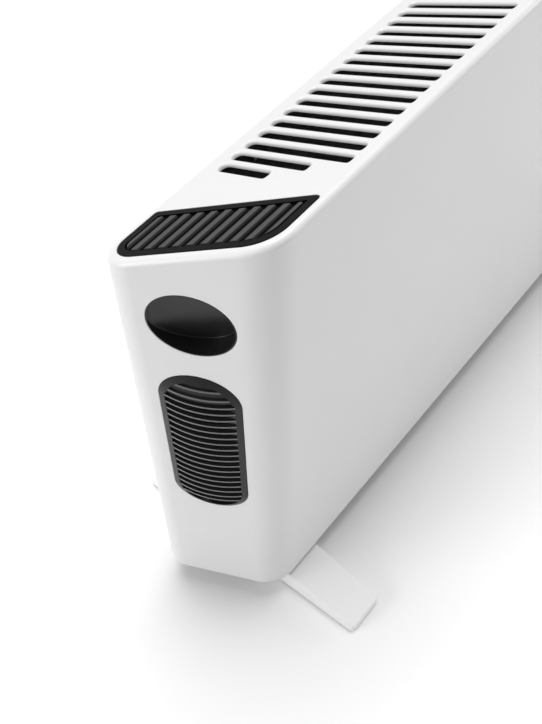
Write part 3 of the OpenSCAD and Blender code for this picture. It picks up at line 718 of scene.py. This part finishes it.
def makeInsert():
    plate = insertPrism("insertPlate", 0, insert["thick"])
    openEdit(plate)
    roundEdges(plate, isOnTop, insert["edge"], segments=3)
    closeEdit()
    combine(plate, insertPrism("insertBed", insert["bedBorder"], insert["ribHeight"], insert["clear"]))
    settle(plate, "insertPlate", "heater", finishes["blackGloss"], ["left_insert"])

    first = insert["rim"] + insert["ribBorder"]
    pitch = (body["depth"] / cos(topSlope) - 2 * first - insert["ribWidth"]) / (insert["ribs"] - 1)
    bar = block("bar", (body["length"], insert["ribWidth"], 2 * insert["ribHeight"]),
                (0, -insert["ribWidth"] / 2, insert["ribProud"] - insert["ribHeight"]))
    ribs = joined([copyAt(bar, topFrame @ Matrix.Translation((0, -first - k * pitch, 0)))
                   for k in range(insert["ribs"])])
    discard([bar])
    field = insertPrism("ribField", insert["ribBorder"], insert["clear"], insert["clear"])
    combine(ribs, field, "INTERSECT")
    openEdit(ribs)
    roundEdges(ribs, lambda e: isUpright(e) and isSharp(e, insert["ribTurn"]), insert["ribEnd"], segments=5)
    closeEdit()
    bevelSharp(ribs, insert["ribEdge"], segments=4, turn=insert["ribTurn"])
    settle(ribs, "insertRibs", "heater", finishes["ribMatt"])


makeInsert()
print("left insert made")


cup = {
    "gap": 0.15,
    "wall": 0.7,
    "sunk": 0.15,           # the rim stands this far inside the casing's hole
    "depth": 14.2,          # at the bottom edge
    "lean": 6,              # degrees
    "scoopReach": 47,       # the scoop is half an ellipse, deepest towards the front
    "scoopShift": 20,
    "scoopLength": 110,
    "scoopTop": 30,
    "shell": 2,
    "back": 45,
    "edge": 0.35,
    "floorEdge": 0.8,
    "margin": 1,            # the floor's edge is looked for this near the wall and below the rim
    "sides": 128,
    "scoopSides": 160,
}


def scoop(grow=0):
    piece = drum("scoop", 1, -cup["scoopLength"], cup["scoopLength"], cup["scoopSides"])
    placeAt(piece, Matrix.Rotation(-pi / 2, 4, "X"))
    placeAt(piece, Matrix.Diagonal((cup["scoopReach"] + grow, 1, cup["depth"] + grow, 1)))
    openEdit(piece)
    pick(piece, "VERT", lambda v: v.co.z > -touching)
    move(z=cup["scoopTop"])
    closeEdit()
    placeAt(piece, Matrix.Translation((cup["scoopShift"], -endFace["cupRadius"], 0)))
    pivot = Matrix.Translation((0, -endFace["cupRadius"], -cup["depth"]))
    return placeAt(piece, pivot @ Matrix.Rotation(radians(cup["lean"]), 4, "X") @ pivot.inverted())


def makeCup():
    outer = endFace["cupRadius"] - cup["gap"]
    inner = outer - cup["wall"]
    piece = drum("gripCup", outer, -cup["back"], -cup["sunk"], cup["sides"])
    openEdit(piece)
    roundEdges(piece, lambda e: middle(e).z > -cup["sunk"] - touching, cup["edge"], segments=3)
    closeEdit()
    combine(piece, scoop(cup["shell"]), "INTERSECT")
    recess = drum("recess", inner, -cup["back"], body["cutterReach"], cup["sides"])
    combine(recess, scoop(), "INTERSECT")
    openEdit(recess)
    roundEdges(recess, lambda e: isSharp(e) and middle(e).z < -cup["margin"]
               and middle(e).xy.length > inner - cup["margin"], cup["floorEdge"], segments=4)
    closeEdit()
    combine(piece, recess)
    bevelSharp(piece, cup["edge"], segments=2)
    return piece


gripCup = makeCup()
for label, side in ends.items():
    settle(copyAt(gripCup, endFrame(endFace["cupDrop"], side)), label + "GripCup", "heater",
           finishes["cupSatin"], [label + "_grip_cup"])
discard([gripCup])
print("grip cups made")


grille = {
    "gap": 0.25,
    "border": 4.1,
    "bulge": 5.5,
    "back": -4.5,
    "edge": 0.4,
    "slatPitch": 7.06,
    "slatThick": 1.5,
    "slatsBelow": 9,        # below the middle one
    "slatsAbove": 10,
    "slatTuck": 1,          # slats run this far into the frame
    "slatBack": -3.5,
    "slatSunk": 0.1,
    "slatEdge": 0.5,
    "capFrom": 59.5,        # the arch above this height is closed
    "capSunk": 1.4,         # its middle is sunk below the frame
    "capMargin": 1,         # inside this margin
    "clear": 20,            # tools stand this far past the grille
    "pillowSegments": 160,
    "pillowRings": 80,
}
bulgeRadius = (endFace["grilleWidth"] ** 2 / 4 + grille["bulge"] ** 2) / (2 * grille["bulge"])


def pillow(grow=0.0):
    # A ball with its halves drawn apart: a bulge across the grille that also closes its ends
    noSelection()
    bpy.ops.mesh.primitive_uv_sphere_add(radius=bulgeRadius + grow, segments=grille["pillowSegments"],
                                         ring_count=grille["pillowRings"])
    piece = drawApart(placeAt(bpy.context.object, Matrix.Rotation(pi / 2, 4, "Y")))
    return placeAt(piece, Matrix.Translation((0, 0, grille["bulge"] - bulgeRadius)))


def makeGrilleFrame():
    clear = grille["clear"]
    piece = archBlock("endGrille", grille["gap"], grille["back"], clear)
    combine(piece, pillow(), "INTERSECT")
    window = archBlock("window", grille["border"], -clear, clear)
    combine(piece, cutAcross(window, grille["capFrom"], False))
    sunk = archBlock("sunkCap", grille["border"] + grille["capMargin"], -clear, clear)
    cutAcross(sunk, grille["capFrom"] - grille["capMargin"], True)
    combine(sunk, pillow(-grille["capSunk"]))
    combine(piece, sunk)
    bevelSharp(piece, grille["edge"], segments=3)
    return piece


def makeGrilleSlats():
    slat = block("slat", (endFace["grilleWidth"], grille["slatThick"], 2 * grille["clear"]))
    slats = joined([copyAt(slat, Matrix.Translation((0, k * grille["slatPitch"], 0)))
                    for k in range(-grille["slatsBelow"], grille["slatsAbove"] + 1)])
    discard([slat])
    border = grille["border"] - grille["slatTuck"]
    combine(slats, archBlock("slatField", border, grille["slatBack"], grille["clear"]), "INTERSECT")
    combine(slats, pillow(-grille["slatSunk"]), "INTERSECT")
    bevelSharp(slats, grille["slatEdge"], segments=4)
    return slats


grilleFrame = makeGrilleFrame()
grilleSlats = makeGrilleSlats()
for label, side in ends.items():
    spot = endFrame(endFace["grilleDrop"], side)
    settle(copyAt(grilleFrame, spot), label + "GrilleFrame", "heater",
           finishes["blackSatin"], [label + "_end_grille"])
    settle(copyAt(grilleSlats, spot), label + "GrilleSlats", "heater", finishes["slatSatin"])
discard([grilleFrame, grilleSlats])
print("end grilles made")


foot = {
    "fromEnd": 78,
    "width": 36.5,
    "reach": 113,
    "low": 1.5,
    "tipHeight": 9,
    "flat": 20,
    "cornerRadius": 4.5,
    "edge": 1.4,
    "edgeTurn": 50,
    "wall": 3,
}


def makeFoot():
    low, high = foot["low"], body["bottom"]
    tip = foot["reach"] - touching
    piece = block("foot", (foot["width"], 2 * foot["reach"], high - low), (0, 0, (low + high) / 2))
    openEdit(piece)
    for y in (-foot["flat"], foot["flat"]):
        bpy.ops.mesh.select_all(action="SELECT")
        bpy.ops.mesh.bisect(plane_co=(0, y, 0), plane_no=(0, 1, 0))
    pick(piece, "VERT", lambda v: v.co.z > high - touching and abs(v.co.y) > tip)
    move(z=foot["tipHeight"] - high)
    roundEdges(piece, lambda e: isUpright(e) and abs(middle(e).y) > tip, foot["cornerRadius"], segments=8)
    roundEdges(piece, lambda e: isSharp(e, foot["edgeTurn"])
               and all(v.co.z > low + touching for v in e.verts), foot["edge"], segments=5)
    pick(piece, "FACE", lambda f: f.normal.z < -aligned)
    bpy.ops.mesh.delete(type="FACE")
    closeEdit()
    applyModifier(piece, "SOLIDIFY", thickness=foot["wall"], offset=-1, use_even_offset=True)
    return piece


stand = makeFoot()
for label, side in ends.items():
    spot = Matrix.Translation((side * (body["length"] / 2 - foot["fromEnd"]), 0, 0))
    settle(copyAt(stand, spot), label + "Foot", "heater", finishes["footPlastic"],
           [label + "_foot"])
discard([stand])
print("feet made")


# The knob's groove is filled with a white line
knobTop = {
    "fromRear": 30,         # down the slope, to the knob's middle
    "height": 13.5,
    "lineWidth": 1.1,
    "lineFrom": 4,
    "lineTo": 11.8,
    "grooveDepth": 0.7,
    "lineSunk": 0.15,
}


def makePointer():
    length = knobTop["lineTo"] - knobTop["lineFrom"]
    high = knobTop["height"] - knobTop["lineSunk"]
    low = knobTop["height"] - knobTop["grooveDepth"]
    line = block("knobPointer", (knobTop["lineWidth"], length, high - low),
                 (0, knobTop["lineFrom"] + length / 2, (high + low) / 2))
    middleX = (body["length"] / 2 - (insert["rim"] + insert["width"] / 2) / cos(endSlant)
               - knobTop["fromRear"] * cos(topSlope) * tan(endSlant))
    placeAt(line, topFrame @ Matrix.Translation((middleX, -knobTop["fromRear"], 0)))
    settle(line, "knobPointer", "knob", finishes["pointerWhite"])


makePointer()
print("knob pointer made")


# Floor and studio light
studio = {
    "floorSize": 12,
    "floorTone": 0.95,
    "floorRoughness": 0.9,
    "skyStrength": 0.44,
    "lamps": [
        # name, place, aim, size, power
        ("keyLamp", (0.3, 0.35, 2.9), (0, 0, 0.2), 2.0, 62),
        ("leftLamp", (-2.0, 1.0, 0.8), (-0.32, 0, 0.2), 1.0, 16),
        ("frontLamp", (2.4, -1.5, 0.8), (0, 0, 0.2), 1.0, 14),
    ],
}


def addFloor():
    noSelection()
    bpy.ops.mesh.primitive_plane_add(size=studio["floorSize"], location=(0, 0, 0))
    floor = bpy.context.object
    floor.name = "floor"
    paper = Finish("floorPaper")
    colour = (studio["floorTone"],) * 3 + (1,)
    floor.data.materials.append(paper.set(colour=colour, roughness=studio["floorRoughness"]))


def addSky():
    world = bpy.data.worlds.new("studio")
    world.use_nodes = True
    sky = world.node_tree.nodes["Background"].inputs
    sky["Color"].default_value = (1, 1, 1, 1)
    sky["Strength"].default_value = studio["skyStrength"]
    bpy.context.scene.world = world


def addLamps():
    for name, place, aim, size, power in studio["lamps"]:
        lamp = bpy.data.lights.new(name, "AREA")
        lamp.shape = "DISK"
        lamp.size = size
        lamp.energy = power
        shown = bpy.data.objects.new(name, lamp)
        bpy.context.scene.collection.objects.link(shown)
        shown.location = place
        shown.rotation_euler = (Vector(place) - Vector(aim)).to_track_quat("Z", "Y").to_euler()


addFloor()
addSky()
addLamps()
bpy.context.scene.view_settings.view_transform = "Standard"
print("studio set")
